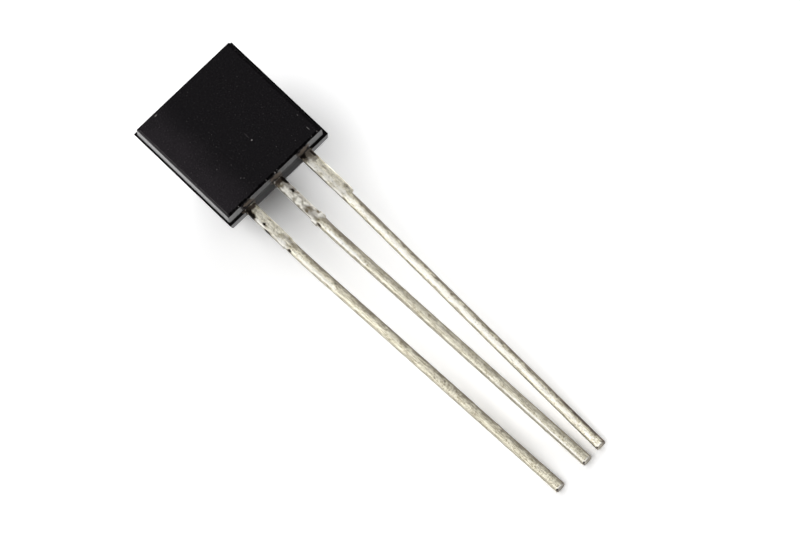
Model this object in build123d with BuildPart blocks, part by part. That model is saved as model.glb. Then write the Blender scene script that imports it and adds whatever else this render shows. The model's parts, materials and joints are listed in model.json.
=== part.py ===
from build123d import *
import math
import os

os.makedirs("parts", exist_ok=True)

# TO-92 transistor lying on its round back with the flat face up.
# Lengths are in millimetres and angles in degrees.
# Case axes: x across the flat face from collector to emitter, y from the lead tips to the top,
# z out of the face.

# Moulded case. Its two halves are moulded a little off each other, so the step between them is uneven:
# narrower on the collector side and at the lead end.
body_width = 4.46
body_height = 4.62
body_depth = 3.50
front_depth = 0.515
parting_step = 0.075
back_shift_across = 0.031
front_shift_down = 0.015
end_band_depth = 0.31
front_draft = 5.0
back_side_draft = 10.0
back_end_draft = 18.0
front_corner_radius = 0.06
face_edge_radius = 0.03
ejector_diameter = 1.20
ejector_depth = 0.08
cut_overrun = 1.0

# Leads, stamped from one strip
lead_thickness = 0.38
lead_width = 0.37
lead_pitch = 1.27
base_offset = 0.015
lead_length = 14.00
lead_depth = 0.47
lead_top_radius = 0.06
lead_under_radius = 0.14
lead_embed = 0.90
bend_start = 2.25
bend_radius = 20.0
tie_bar_start = 1.75
tie_bar_length = 0.20
tie_bar_spur = 0.05
collector_root_width = 0.42
emitter_root_width = 0.46
collector_splay = 1.87
base_splay = 1.57
emitter_splay = -1.16
base_trim = 0.02
emitter_trim = 0.07

# Lead heads inside the case; a reach is measured from the case's lead end
paddle_width = 1.90
paddle_height = 1.50
paddle_shift = 0.47
paddle_reach = 3.10
base_head_width = 1.20
base_head_height = 0.55
base_reach = 1.95
emitter_head_width = 0.95
emitter_head_height = 0.90
emitter_reach = 3.50

# Die, its joint and the wires
die_size = 0.46
die_thickness = 0.18
attach_thickness = 0.02
attach_margin = 0.04
wire_diameter = 0.05
wire_loop = 0.28
wire_bend_radius = 0.14
ball_diameter = 0.10
ball_height = 0.03
pad_offset = 0.11
landing_share = 0.5
run_on_share = 1.15

# The case rests on the lead end of its round back and on the lead tips.
# Its axis tilts by the angle found here.
lead_front_z = -lead_depth
lead_back_z = lead_front_z - lead_thickness
half_width = body_width / 2
half_height = body_height / 2
band_floor_z = -(front_depth + end_band_depth)
taper_run = (body_depth + band_floor_z) * math.tan(math.radians(back_end_draft))
back_edge_y = half_height - taper_run
tip_y = -(half_height + lead_length)
rest_tilt = math.atan2(body_depth + lead_back_z, -tip_y - back_edge_y)
tilt_sin = math.sin(rest_tilt)
tilt_cos = math.cos(rest_tilt)

# The face centre is placed so that the box stands on the floor and its centre is over the origin.
face_z = body_depth * tilt_cos + back_edge_y * tilt_sin
tip_reach = tip_y * tilt_cos - lead_front_z * tilt_sin
top_reach = half_height * tilt_cos - band_floor_z * tilt_sin
face_y = -(tip_reach + top_reach) / 2

case = Plane(origin=(0, face_y, face_z), x_dir=(1, 0, 0), z_dir=(0, -tilt_sin, tilt_cos))
face_axis = Axis(origin=case.origin, direction=case.z_dir)
parting = case.offset(-front_depth)
back_center = case.from_local_coords(Vector(back_shift_across, 0, 0))
cross = Plane(origin=back_center, x_dir=case.x_dir, z_dir=-case.y_dir)
side = Plane(origin=case.origin, x_dir=case.y_dir, z_dir=case.x_dir)
lead_front = case.offset(lead_front_z)
lead_middle = case.offset(lead_front_z - lead_thickness / 2)
lead_back = case.offset(lead_back_z)

# Lead centres, the places of the heads, and the straight runs before and after each bend
collector_x = -lead_pitch
base_x = base_offset
emitter_x = lead_pitch
root_y = -half_height + lead_embed
paddle_center_x = collector_x + paddle_shift
paddle_center_y = -half_height + paddle_reach
base_head_top = -half_height + base_reach
emitter_head_top = -half_height + emitter_reach
root_run = lead_embed + bend_start
tie_run = lead_embed + tie_bar_start
tie_y = -half_height - tie_bar_start - tie_bar_length / 2
root_origin_z = lead_front_z - lead_thickness / 2
free_run = lead_length - bend_start
collector_turn = math.radians(collector_splay)
base_turn = math.radians(base_splay)
emitter_turn = math.radians(emitter_splay)
collector_run = (free_run - bend_radius * math.sin(abs(collector_turn))) / math.cos(collector_turn)
base_run = (free_run - bend_radius * math.sin(abs(base_turn))) / math.cos(base_turn) - base_trim
emitter_run = (free_run - bend_radius * math.sin(abs(emitter_turn))) / math.cos(emitter_turn) - emitter_trim

# Collector lead with the die paddle
with BuildPart() as collector_lead:
    with BuildSketch(lead_front) as paddle_outline:
        with Locations((paddle_center_x, paddle_center_y)):
            Rectangle(paddle_width, paddle_height)
        with Locations((collector_x, root_y)):
            Rectangle(collector_root_width, paddle_center_y - root_y, align=(Align.CENTER, Align.MIN))
    extrude(amount=-lead_thickness)
    collector_start = Plane(
        origin=case.from_local_coords(Vector(collector_x, root_y, root_origin_z)),
        x_dir=case.x_dir,
        z_dir=-case.y_dir,
    )
    with BuildSketch(collector_start) as collector_root_section:
        Rectangle(collector_root_width, lead_thickness)
        fillet(collector_root_section.vertices().group_by(Axis.Y)[-1], lead_top_radius)
        fillet(collector_root_section.vertices().group_by(Axis.Y)[0], lead_under_radius)
    extrude(amount=tie_run)
    with BuildLine(lead_middle) as collector_path:
        collector_straight = Line((collector_x, root_y), (collector_x, root_y - root_run))
        collector_bend = JernArc(
            collector_straight @ 1, collector_straight % 1, bend_radius, collector_splay
        )
        PolarLine(collector_bend @ 1, collector_run, direction=collector_bend % 1)
    with BuildSketch(collector_start) as collector_section:
        Rectangle(lead_width, lead_thickness)
        fillet(collector_section.vertices().group_by(Axis.Y)[-1], lead_top_radius)
        fillet(collector_section.vertices().group_by(Axis.Y)[0], lead_under_radius)
    sweep(sections=collector_section.sketch, path=collector_path.line)
collector_lead.part.label = "collector_lead"
export_step(collector_lead.part, "parts/collector_lead.step")

# Base lead with its head, and the spurs left where the tie bar was cut off
with BuildPart() as base_lead:
    with BuildSketch(lead_front) as base_outline:
        with Locations((base_x, base_head_top)):
            Rectangle(base_head_width, base_head_height, align=(Align.CENTER, Align.MAX))
        with Locations((base_x, root_y)):
            Rectangle(lead_width, base_head_top - root_y, align=(Align.CENTER, Align.MIN))
        with Locations((base_x, tie_y)):
            Rectangle(lead_width + 2 * tie_bar_spur, tie_bar_length)
    extrude(amount=-lead_thickness)
    base_start = Plane(
        origin=case.from_local_coords(Vector(base_x, root_y, root_origin_z)),
        x_dir=case.x_dir,
        z_dir=-case.y_dir,
    )
    with BuildLine(lead_middle) as base_path:
        base_straight = Line((base_x, root_y), (base_x, root_y - root_run))
        base_bend = JernArc(base_straight @ 1, base_straight % 1, bend_radius, base_splay)
        PolarLine(base_bend @ 1, base_run, direction=base_bend % 1)
    with BuildSketch(base_start) as base_section:
        Rectangle(lead_width, lead_thickness)
        fillet(base_section.vertices().group_by(Axis.Y)[-1], lead_top_radius)
        fillet(base_section.vertices().group_by(Axis.Y)[0], lead_under_radius)
    sweep(sections=base_section.sketch, path=base_path.line)
base_lead.part.label = "base_lead"
export_step(base_lead.part, "parts/base_lead.step")

# Emitter lead with its head, its root wider on the outer side
emitter_lead_x = emitter_x - (emitter_root_width - lead_width) / 2
with BuildPart() as emitter_lead:
    with BuildSketch(lead_front) as emitter_outline:
        with Locations((emitter_x, emitter_head_top)):
            Rectangle(emitter_head_width, emitter_head_height, align=(Align.CENTER, Align.MAX))
        with Locations((emitter_x, root_y)):
            Rectangle(emitter_root_width, emitter_head_top - root_y, align=(Align.CENTER, Align.MIN))
    extrude(amount=-lead_thickness)
    emitter_root_start = Plane(
        origin=case.from_local_coords(Vector(emitter_x, root_y, root_origin_z)),
        x_dir=case.x_dir,
        z_dir=-case.y_dir,
    )
    with BuildSketch(emitter_root_start) as emitter_root_section:
        Rectangle(emitter_root_width, lead_thickness)
        fillet(emitter_root_section.vertices().group_by(Axis.Y)[-1], lead_top_radius)
        fillet(emitter_root_section.vertices().group_by(Axis.Y)[0], lead_under_radius)
    extrude(amount=tie_run + tie_bar_length)
    emitter_start = Plane(
        origin=case.from_local_coords(Vector(emitter_lead_x, root_y, root_origin_z)),
        x_dir=case.x_dir,
        z_dir=-case.y_dir,
    )
    with BuildLine(lead_middle) as emitter_path:
        emitter_straight = Line((emitter_lead_x, root_y), (emitter_lead_x, root_y - root_run))
        emitter_bend = JernArc(emitter_straight @ 1, emitter_straight % 1, bend_radius, emitter_splay)
        PolarLine(emitter_bend @ 1, emitter_run, direction=emitter_bend % 1)
    with BuildSketch(emitter_start) as emitter_section:
        Rectangle(lead_width, lead_thickness)
        fillet(emitter_section.vertices().group_by(Axis.Y)[-1], lead_top_radius)
        fillet(emitter_section.vertices().group_by(Axis.Y)[0], lead_under_radius)
    sweep(sections=emitter_section.sketch, path=emitter_path.line)
emitter_lead.part.label = "emitter_lead"
export_step(emitter_lead.part, "parts/emitter_lead.step")

# Die joint and die, on the paddle's side that faces the round back
with BuildPart() as die_attach:
    with BuildSketch(lead_back) as attach_outline:
        with Locations((paddle_center_x, paddle_center_y)):
            Rectangle(die_size + 2 * attach_margin, die_size + 2 * attach_margin)
    extrude(amount=-attach_thickness)
die_attach.part.label = "die_attach"
export_step(die_attach.part, "parts/die_attach.step")

with BuildPart() as silicon_die:
    with BuildSketch(lead_back.offset(-attach_thickness)) as die_outline:
        with Locations((paddle_center_x, paddle_center_y)):
            Rectangle(die_size, die_size)
    extrude(amount=-die_thickness)
silicon_die.part.label = "silicon_die"
export_step(silicon_die.part, "parts/silicon_die.step")

# Bond wires: each rises from its ball on the die, bends over and falls straight to a lead head,
# where it is cut off flush
die_rise = attach_thickness + die_thickness
die_top_z = lead_back_z - die_rise
wire_fall = wire_loop + die_rise
base_pad_x = paddle_center_x + pad_offset
base_pad_y = paddle_center_y - pad_offset
base_land_x = base_x - base_head_width * landing_share / 2
base_land_y = base_head_top - base_head_height * landing_share
base_wire_span = math.hypot(base_land_x - base_pad_x, base_land_y - base_pad_y)
base_along = (
    case.x_dir * (base_land_x - base_pad_x) + case.y_dir * (base_land_y - base_pad_y)
).normalized()
base_pad = case.from_local_coords(Vector(base_pad_x, base_pad_y, die_top_z))
base_arch = Plane(origin=base_pad, x_dir=base_along, z_dir=base_along.cross(case.z_dir))
with BuildPart() as base_bond_wire:
    with BuildLine(base_arch) as base_wire_path:
        FilletPolyline(
            (0, 0),
            (0, -wire_loop),
            (base_wire_span * run_on_share, wire_fall * run_on_share - wire_loop),
            radius=wire_bend_radius,
        )
    base_bond = Plane(origin=base_pad, x_dir=case.x_dir, z_dir=-case.z_dir)
    with BuildSketch(base_bond) as base_wire_section:
        Circle(wire_diameter / 2)
    sweep(sections=base_wire_section.sketch, path=base_wire_path.line)
    split(bisect_by=lead_back, keep=Keep.BOTTOM)
    with BuildSketch(base_bond) as base_ball_section:
        Circle(ball_diameter / 2)
    extrude(amount=ball_height)
base_bond_wire.part.label = "base_bond_wire"
export_step(base_bond_wire.part, "parts/base_bond_wire.step")

emitter_pad_x = paddle_center_x + pad_offset
emitter_pad_y = paddle_center_y + pad_offset
emitter_land_x = emitter_x - emitter_head_width * landing_share / 2
emitter_land_y = emitter_head_top - emitter_head_height * landing_share
emitter_wire_span = math.hypot(emitter_land_x - emitter_pad_x, emitter_land_y - emitter_pad_y)
emitter_along = (
    case.x_dir * (emitter_land_x - emitter_pad_x) + case.y_dir * (emitter_land_y - emitter_pad_y)
).normalized()
emitter_pad = case.from_local_coords(Vector(emitter_pad_x, emitter_pad_y, die_top_z))
emitter_arch = Plane(origin=emitter_pad, x_dir=emitter_along, z_dir=emitter_along.cross(case.z_dir))
with BuildPart() as emitter_bond_wire:
    with BuildLine(emitter_arch) as emitter_wire_path:
        FilletPolyline(
            (0, 0),
            (0, -wire_loop),
            (emitter_wire_span * run_on_share, wire_fall * run_on_share - wire_loop),
            radius=wire_bend_radius,
        )
    emitter_bond = Plane(origin=emitter_pad, x_dir=case.x_dir, z_dir=-case.z_dir)
    with BuildSketch(emitter_bond) as emitter_wire_section:
        Circle(wire_diameter / 2)
    sweep(sections=emitter_wire_section.sketch, path=emitter_wire_path.line)
    split(bisect_by=lead_back, keep=Keep.BOTTOM)
    with BuildSketch(emitter_bond) as emitter_ball_section:
        Circle(ball_diameter / 2)
    extrude(amount=ball_height)
emitter_bond_wire.part.label = "emitter_bond_wire"
export_step(emitter_bond_wire.part, "parts/emitter_bond_wire.step")

# Moulded case. The back half's section has drafted sides that run tangent into the round back.
side_draft = math.radians(back_side_draft)
round_depth_share = (1 - math.sin(side_draft)) / math.cos(side_draft)
round_slope_share = 1 - math.tan(side_draft) * round_depth_share
side_run = (body_depth - front_depth - half_width * round_depth_share) / round_slope_share
tangent_x = half_width - side_run * math.tan(side_draft)
tangent_z = -front_depth - side_run
front_width = body_width - 2 * parting_step
front_height = body_height - 2 * parting_step
with BuildPart() as epoxy_body:
    with BuildSketch(parting) as front_outline:
        with Locations((0, -front_shift_down)):
            Rectangle(front_width, front_height)
    extrude(amount=front_depth, taper=front_draft)
    fillet(epoxy_body.edges().filter_by(parting, reverse=True), front_corner_radius)
    fillet(epoxy_body.faces().sort_by(face_axis)[-1].edges(), face_edge_radius)
    with BuildSketch(cross) as back_section:
        with BuildLine() as back_outline:
            Polyline(
                (-tangent_x, tangent_z),
                (-half_width, -front_depth),
                (half_width, -front_depth),
                (tangent_x, tangent_z),
            )
            ThreePointArc((tangent_x, tangent_z), (0, -body_depth), (-tangent_x, tangent_z))
        make_face()
    extrude(amount=half_height, both=True)
    with BuildSketch(side) as end_profile:
        with BuildLine() as end_outline:
            Polyline(
                (-half_height, cut_overrun),
                (-half_height, band_floor_z),
                (-back_edge_y, -body_depth),
                (back_edge_y, -body_depth),
                (half_height, band_floor_z),
                (half_height, cut_overrun),
                close=True,
            )
        make_face()
    extrude(amount=body_width, both=True, mode=Mode.INTERSECT)
    # Bevel across the lead end, from the front half's edge to the foot of the band, between the outer leads
    with BuildSketch(side) as bevel_profile:
        with BuildLine() as bevel_outline:
            Polyline(
                (-front_height / 2 - front_shift_down, -front_depth),
                (-half_height, band_floor_z),
                (-half_height - cut_overrun, band_floor_z),
                (-half_height - cut_overrun, -front_depth),
                close=True,
            )
        make_face()
    extrude(amount=lead_pitch + emitter_root_width / 2, both=True, mode=Mode.SUBTRACT)
    # Flat left by the ejector pin on the round back
    with BuildSketch(case.offset(-body_depth - cut_overrun)) as ejector_outline:
        with Locations((back_shift_across, 0)):
            Circle(ejector_diameter / 2)
    extrude(amount=cut_overrun + ejector_depth, mode=Mode.SUBTRACT)
    # Room for everything that the case is moulded around
    add(collector_lead.part, mode=Mode.SUBTRACT)
    add(base_lead.part, mode=Mode.SUBTRACT)
    add(emitter_lead.part, mode=Mode.SUBTRACT)
    add(die_attach.part, mode=Mode.SUBTRACT)
    add(silicon_die.part, mode=Mode.SUBTRACT)
    add(base_bond_wire.part, mode=Mode.SUBTRACT)
    add(emitter_bond_wire.part, mode=Mode.SUBTRACT)
epoxy_body.part.label = "epoxy_body"
export_step(epoxy_body.part, "parts/epoxy_body.step")
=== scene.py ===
import json
import math
import bpy
import numpy as np
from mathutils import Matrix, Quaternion, Vector


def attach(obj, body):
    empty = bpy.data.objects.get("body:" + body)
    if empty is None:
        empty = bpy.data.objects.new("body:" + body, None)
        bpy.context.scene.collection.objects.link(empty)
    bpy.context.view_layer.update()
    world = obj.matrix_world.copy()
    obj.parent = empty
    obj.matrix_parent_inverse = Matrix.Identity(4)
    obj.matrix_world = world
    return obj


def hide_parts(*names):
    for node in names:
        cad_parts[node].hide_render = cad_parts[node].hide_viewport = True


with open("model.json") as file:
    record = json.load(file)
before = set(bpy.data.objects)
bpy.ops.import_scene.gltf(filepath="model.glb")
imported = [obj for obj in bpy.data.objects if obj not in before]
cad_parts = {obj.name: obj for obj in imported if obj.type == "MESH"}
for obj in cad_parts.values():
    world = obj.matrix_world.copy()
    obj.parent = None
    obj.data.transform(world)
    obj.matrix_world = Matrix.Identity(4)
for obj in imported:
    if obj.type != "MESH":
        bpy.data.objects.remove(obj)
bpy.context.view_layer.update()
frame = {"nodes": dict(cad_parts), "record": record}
mm = 0.001
hair = 1e-6  # millimetres, allowed where two heights should be equal
latticeSize = 64  # cells of the random lattice before it repeats
sharpDegrees = 40  # faces that turn by more than this meet in a sharp edge
noiseLow, noiseHigh = 0.3, 0.7  # most of a noise texture lies between these

# The flat face's mount gives the case's own axes: x across the face, y to the top, z out of the face.
mounts = {mount["name"]: mount for mount in frame["record"]["mounts"]}
faceCentre = np.array(mounts["flat_face"]["pos_m"])
outOfFace = np.array(mounts["flat_face"]["axis"])
outOfFace = outOfFace / np.linalg.norm(outOfFace)
acrossFace = np.array([1.0, 0.0, 0.0])
upCase = np.cross(outOfFace, acrossFace)
caseAxes = np.stack([acrossFace, upCase, outOfFace])


def toFrame(caseMm):
    # face centre plus each case coordinate times its axis, millimetres to metres
    return faceCentre + mm * caseMm @ caseAxes


def toCase(framePoint):
    # the way back: how far the point lies from the face centre along each case axis
    return caseAxes @ (np.array(framePoint) - faceCentre) / mm


def smoothStep(value):
    # cubic ramp, 0 below 0 and 1 above 1
    share = np.clip(value, 0.0, 1.0)
    return share * share * (3.0 - 2.0 * share)


def wander(u, v, seed):
    # smooth random field between -1 and 1: random numbers on a unit lattice, blended by cubic ramps
    lattice = np.random.default_rng(seed).uniform(-1.0, 1.0, (latticeSize, latticeSize))
    u, v = np.broadcast_arrays(u, v)
    column, row = np.floor(u).astype(int), np.floor(v).astype(int)
    across, down = smoothStep(u - column), smoothStep(v - row)
    low, high = [lattice[column % latticeSize, line % latticeSize] * (1 - across)
                 + lattice[(column + 1) % latticeSize, line % latticeSize] * across
                 for line in (row, row + 1)]
    return low * (1 - down) + high * down


def ragged(u, v, fields, seed):
    # sum of wandering fields, each (share, size along u, size along v, where it starts on the lattice)
    return sum(share * wander(u / sizeU, v / sizeV + start, seed + turn)
               for turn, (share, sizeU, sizeV, start) in enumerate(fields))


def blots(spots, u, v, edge, fadeFrom, fadeOver):
    # soft ovals (u, v, half size along u, half size along v, strength); the edge field makes their outlines
    # ragged, and the strongest one counts
    total = np.zeros_like(v)
    for spotU, spotV, halfU, halfV, strength in spots:
        reach = np.hypot((u - spotU) / halfU, (v - spotV) / halfV) + edge
        total = np.maximum(total, strength * (1 - smoothStep((reach - fadeFrom) / fadeOver)))
    return total


def addPiece(name, rings, material, attributes, node):
    # quads join each ring to the next one and close round the ring; a flat cap closes each end
    count, around = rings.shape[:2]
    index = np.arange(count * around).reshape(count, around)
    turned = np.roll(index, -1, axis=1)
    quads = np.stack([index[:-1], index[1:], turned[1:], turned[:-1]], axis=-1).reshape(-1, 4)
    caps = [index[0].tolist(), index[-1, ::-1].tolist()]
    mesh = bpy.data.meshes.new(name)
    mesh.from_pydata(toFrame(rings.reshape(-1, 3)).tolist(), [], quads.tolist() + caps)
    for attributeName, values in attributes.items():
        kind, field = ("FLOAT_VECTOR", "vector") if values.ndim == 3 else ("FLOAT", "value")
        layer = mesh.attributes.new(attributeName, kind, "POINT")
        layer.data.foreach_set(field, values.astype(np.float32).ravel())
    mesh.polygons.foreach_set("use_smooth", np.ones(len(mesh.polygons), bool))
    mesh.set_sharp_from_angle(angle=math.radians(sharpDegrees))
    mesh.materials.append(material)
    piece = bpy.data.objects.new(name, mesh)
    bpy.context.scene.collection.objects.link(piece)
    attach(piece, "root")
    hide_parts(node)
    print(name, len(mesh.vertices), "points")


def linear(hexColour):
    # sRGB hex to the linear colour that shader sockets take
    parts = [int(hexColour[i:i + 2], 16) / 255 for i in (1, 3, 5)]
    return [p / 12.92 if p <= 0.04045 else ((p + 0.055) / 1.055) ** 2.4 for p in parts] + [1.0]


def newMaterial(name):
    # a new material, its node tree and its main shader
    material = bpy.data.materials.new(name)
    material.use_nodes = True
    tree = material.node_tree
    return material, tree, tree.nodes["Principled BSDF"]


def addNode(tree, kind, inputs=None, **settings):
    # adds one node, sets it up, and gives each named input a value or a link
    node = tree.nodes.new(kind)
    for setting, value in settings.items():
        setattr(node, setting, value)
    for socket, source in (inputs or {}).items():
        if isinstance(source, bpy.types.NodeSocket):
            tree.links.new(source, node.inputs[socket])
        else:
            node.inputs[socket].default_value = source
    return node


# Moulded epoxy: a black filled resin, satin from the mould, so the face is a soft dark mirror. It is lighter towards
# the collector side, partly a mottled film and partly a painted reflection. It has dust and scuffs, painted highlights
# on the collector side's wall and along that edge of the face, a rough strip sheared between the leads, fresh matte
# resin where it is chipped, painted shade on the walls just above the step and along the emitter side's edge, and
# flux round the leads. Pairs are the values that a blend runs between.
# The filler's grain and the dust are finer in life; they are drawn about 0.05 mm wide, so that they show.
epoxyLook = {
    # the fresh black also paints shade on the walls just above the step and along the emitter side's edge
    "dark": "#0a070b", "filmAndSheen": "#211d21", "freshAndShade": "#030203",
    # the pale dust colour also paints the highlights on the collector side
    "dustAndHighlight": "#8d8a88", "residue": "#6e6258", "flux": "#1d1610",
    "roughness": 0.24, "roughnessSpread": 0.04, "shearedRoughness": 0.62, "ior": 1.55,
    "cloudMm": 0.9, "cloudContrast": 2.2, "grainMm": 0.045, "grainContrast": 1.8,
    "bumpStrength": 0.2, "bumpMm": 0.004,
    "filmAndSheenX": (-0.6, -1.8), "filmAndSheenLeast": 0.02, "matteGloss": (0.45, 0.15), "thickStain": (0.45, 0.85),
    "dustMm": 0.06, "dustNoise": (0.66, 0.80), "dustMost": 0.14, "speckCore": 0.3,
    # specks and scuffs: x, y, z, half width, half length, strength
    "specks": [
        (0.28, -0.83, 0.0, 0.035, 0.035, 1.0), (0.27, -0.60, 0.0, 0.012, 0.18, 0.15),
        (-1.32, 2.07, 0.0, 0.07, 0.03, 0.7), (1.84, -1.87, 0.0, 0.02, 0.10, 0.5),
        (-0.88, -1.52, 0.0, 0.025, 0.02, 0.5), (-0.80, -1.60, 0.0, 0.02, 0.03, 0.3),
        (-1.22, -0.74, 0.0, 0.03, 0.03, 0.2), (1.92, -1.29, 0.0, 0.03, 0.04, 0.25),
        (-0.78, -0.97, 0.0, 0.02, 0.03, 0.2), (0.68, -1.58, 0.0, 0.03, 0.02, 0.2),
        (1.26, -1.87, 0.0, 0.02, 0.02, 0.25), (-2.05, -0.62, 0.0, 0.03, 0.04, 0.25),
        (0.03, -2.18, -0.03, 0.035, 0.05, 1.0), (-1.61, -2.17, -0.02, 0.025, 0.03, 0.8),
        (-0.35, -2.17, -0.02, 0.02, 0.03, 0.8), (1.97, -2.15, -0.02, 0.03, 0.04, 0.6),
        (1.73, -2.15, -0.02, 0.025, 0.02, 0.6), (0.14, -2.16, -0.02, 0.02, 0.02, 0.9),
    ],
}


def makeEpoxy(look):
    # body lighter towards the collector side (film and painted reflection), then fresh resin and painted shade, dust
    # and painted highlights, and flux, each mixed over the last; the case's attributes say where
    material, tree, shader = newMaterial("mouldedEpoxy")
    place = addNode(tree, "ShaderNodeAttribute", attribute_name="caseMm").outputs["Vector"]
    stain, sheared, gloss, paintedHighlight = [
        addNode(tree, "ShaderNodeAttribute", attribute_name=name).outputs["Fac"]
        for name in ("stain", "sheared", "gloss", "paintedHighlight")]
    cloud = addNode(tree, "ShaderNodeTexNoise", {
        "Vector": place, "Scale": 1 / look["cloudMm"], "Detail": 3.0, "Roughness": 0.6})
    grain = addNode(tree, "ShaderNodeTexNoise", {
        "Vector": place, "Scale": 1 / look["grainMm"], "Detail": 2.0, "Roughness": 0.6})
    # the body lightens towards the collector side, partly a film and partly a painted reflection, in clouds and grains
    # that each average 1
    across = addNode(tree, "ShaderNodeSeparateXYZ", {"Vector": place})
    filmAndSheen = addNode(tree, "ShaderNodeMapRange", {
        "Value": across.outputs["X"], "From Min": look["filmAndSheenX"][0], "From Max": look["filmAndSheenX"][1],
        "To Min": look["filmAndSheenLeast"]}, interpolation_type="SMOOTHSTEP")
    clouded = addNode(tree, "ShaderNodeMath", {
        0: cloud.outputs["Fac"], 1: look["cloudContrast"], 2: 1 - look["cloudContrast"] / 2}, operation="MULTIPLY_ADD")
    grained = addNode(tree, "ShaderNodeMath", {
        0: grain.outputs["Fac"], 1: look["grainContrast"], 2: 1 - look["grainContrast"] / 2}, operation="MULTIPLY_ADD")
    patchy = addNode(tree, "ShaderNodeMath", {
        0: clouded.outputs["Value"], 1: grained.outputs["Value"]}, operation="MULTIPLY")
    filmAndSheenShare = addNode(tree, "ShaderNodeMath", {
        0: filmAndSheen.outputs["Result"], 1: patchy.outputs["Value"]}, operation="MULTIPLY", use_clamp=True)
    body = addNode(tree, "ShaderNodeMix", {
        "Factor": filmAndSheenShare.outputs["Value"], 6: linear(look["dark"]), 7: linear(look["filmAndSheen"])}, data_type="RGBA")
    # chipped edges are fresh, matte resin; the walls just above the step and the emitter side's edge take the same
    # black as painted shade
    chippedAndShaded = addNode(tree, "ShaderNodeMapRange", {
        "Value": gloss, "From Min": look["matteGloss"][0], "From Max": look["matteGloss"][1]})
    body = addNode(tree, "ShaderNodeMix", {
        "Factor": chippedAndShaded.outputs["Result"], 6: body.outputs[2], 7: linear(look["freshAndShade"])}, data_type="RGBA")
    # a faint dusting everywhere, the larger specks one by one, and the painted highlights on the collector side's wall
    # and along that edge of the face
    dusting = addNode(tree, "ShaderNodeTexNoise", {"Vector": place, "Scale": 1 / look["dustMm"], "Detail": 1.0})
    dustAndHighlight = addNode(tree, "ShaderNodeMapRange", {
        "Value": dusting.outputs["Fac"], "From Min": look["dustNoise"][0], "From Max": look["dustNoise"][1],
        "To Max": look["dustMost"]}).outputs["Result"]
    for x, y, z, halfWide, halfLong, strength in look["specks"]:
        apart = addNode(tree, "ShaderNodeVectorMath", {0: place, 1: (x, y, z)}, operation="SUBTRACT")
        scaled = addNode(tree, "ShaderNodeVectorMath", {
            0: apart.outputs["Vector"], 1: (1 / halfWide, 1 / halfLong, 1 / halfWide)}, operation="MULTIPLY")
        reach = addNode(tree, "ShaderNodeVectorMath", {0: scaled.outputs["Vector"]}, operation="LENGTH")
        spot = addNode(tree, "ShaderNodeMapRange", {
            "Value": reach.outputs["Value"], "From Min": 1.0, "From Max": look["speckCore"], "To Max": strength})
        dustAndHighlight = addNode(tree, "ShaderNodeMath", {
            0: spot.outputs["Result"], 1: dustAndHighlight}, operation="MAXIMUM").outputs["Value"]
    dustAndHighlight = addNode(tree, "ShaderNodeMath", {0: paintedHighlight, 1: dustAndHighlight}, operation="MAXIMUM").outputs["Value"]
    dustyAndHighlit = addNode(tree, "ShaderNodeMix", {
        "Factor": dustAndHighlight, 6: body.outputs[2], 7: linear(look["dustAndHighlight"])}, data_type="RGBA")
    # a thin flux stain is a pale residue, a thick one dark
    thick = addNode(tree, "ShaderNodeMapRange", {
        "Value": stain, "From Min": look["thickStain"][0], "From Max": look["thickStain"][1]})
    residue = addNode(tree, "ShaderNodeMix", {
        "Factor": thick.outputs["Result"], 6: linear(look["residue"]), 7: linear(look["flux"])}, data_type="RGBA")
    covered = addNode(tree, "ShaderNodeMapRange", {"Value": stain, "From Max": look["thickStain"][0]})
    stained = addNode(tree, "ShaderNodeMix", {
        "Factor": covered.outputs["Result"], 6: dustyAndHighlit.outputs[2], 7: residue.outputs[2]}, data_type="RGBA")
    worn = addNode(tree, "ShaderNodeMath", {0: covered.outputs["Result"], 1: sheared}, operation="MAXIMUM")
    smooth = addNode(tree, "ShaderNodeMapRange", {
        "Value": grain.outputs["Fac"], "From Min": noiseLow, "From Max": noiseHigh,
        "To Min": look["roughness"] - look["roughnessSpread"],
        "To Max": look["roughness"] + look["roughnessSpread"]})
    rough = addNode(tree, "ShaderNodeMix", {
        "Factor": worn.outputs["Value"], 2: smooth.outputs["Result"], 3: look["shearedRoughness"]})
    bump = addNode(tree, "ShaderNodeBump", {
        "Height": grain.outputs["Fac"], "Strength": look["bumpStrength"], "Distance": look["bumpMm"] * mm})
    tree.links.new(stained.outputs[2], shader.inputs["Base Color"])
    tree.links.new(gloss, shader.inputs["Specular IOR Level"])
    tree.links.new(rough.outputs[0], shader.inputs["Roughness"])
    tree.links.new(bump.outputs["Normal"], shader.inputs["Normal"])
    shader.inputs["IOR"].default_value = look["ior"]
    return material


# Tin plate on copper alloy: a warm white metal, dull and finely streaked along the lead, darker on the sheared sides
# (partly duller metal, partly painted shade), with painted shade along the crowned right edge and on the cut end,
# smeared in patches near the case, with painted highlights and glints, and browned to black by flux at the roots.
# Flux is no metal, so a stained place is less metallic and less shiny.
# Streaks and pits are finer in life; they are drawn 0.03 to 0.04 mm wide, so that they show. Sizes along the lead are
# the middle ones of three. Pairs are the values that a blend runs between.
tinLook = {
    # the side colour is dull sheared metal and also painted shade; the rubbed colour is pale rubbed tin and also
    # painted highlights and glints
    "bright": "#fffae5", "dull": "#9c9176", "side": "#6b6358", "rubbedAndGlint": "#fbf9f3", "smeared": "#70654f",
    "brown": "#62564b", "burnt": "#15100c",
    "roughness": 0.48, "roughnessSpread": 0.06, "smearRoughness": 0.15, "sheen": 0.5,
    "streakMm": (0.030, 0.55, 0.030), "fleckShare": 0.75, "streakTone": (0.75, 0.92),
    "patchMm": (0.17, 0.26, 0.17), "patchTone": (0.36, 0.56),
    "pitMm": 0.042, "pitNoise": (0.64, 0.74), "pitDark": 0.55,
    "burntStain": (0.45, 0.9), "fullStain": 0.7, "bareStain": (0.3, 0.9), "leastMetal": 0.1,
    "waveStrength": 0.6, "waveMm": 0.016, "streakStrength": 0.4, "streakDeepMm": 0.005,
}


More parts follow.
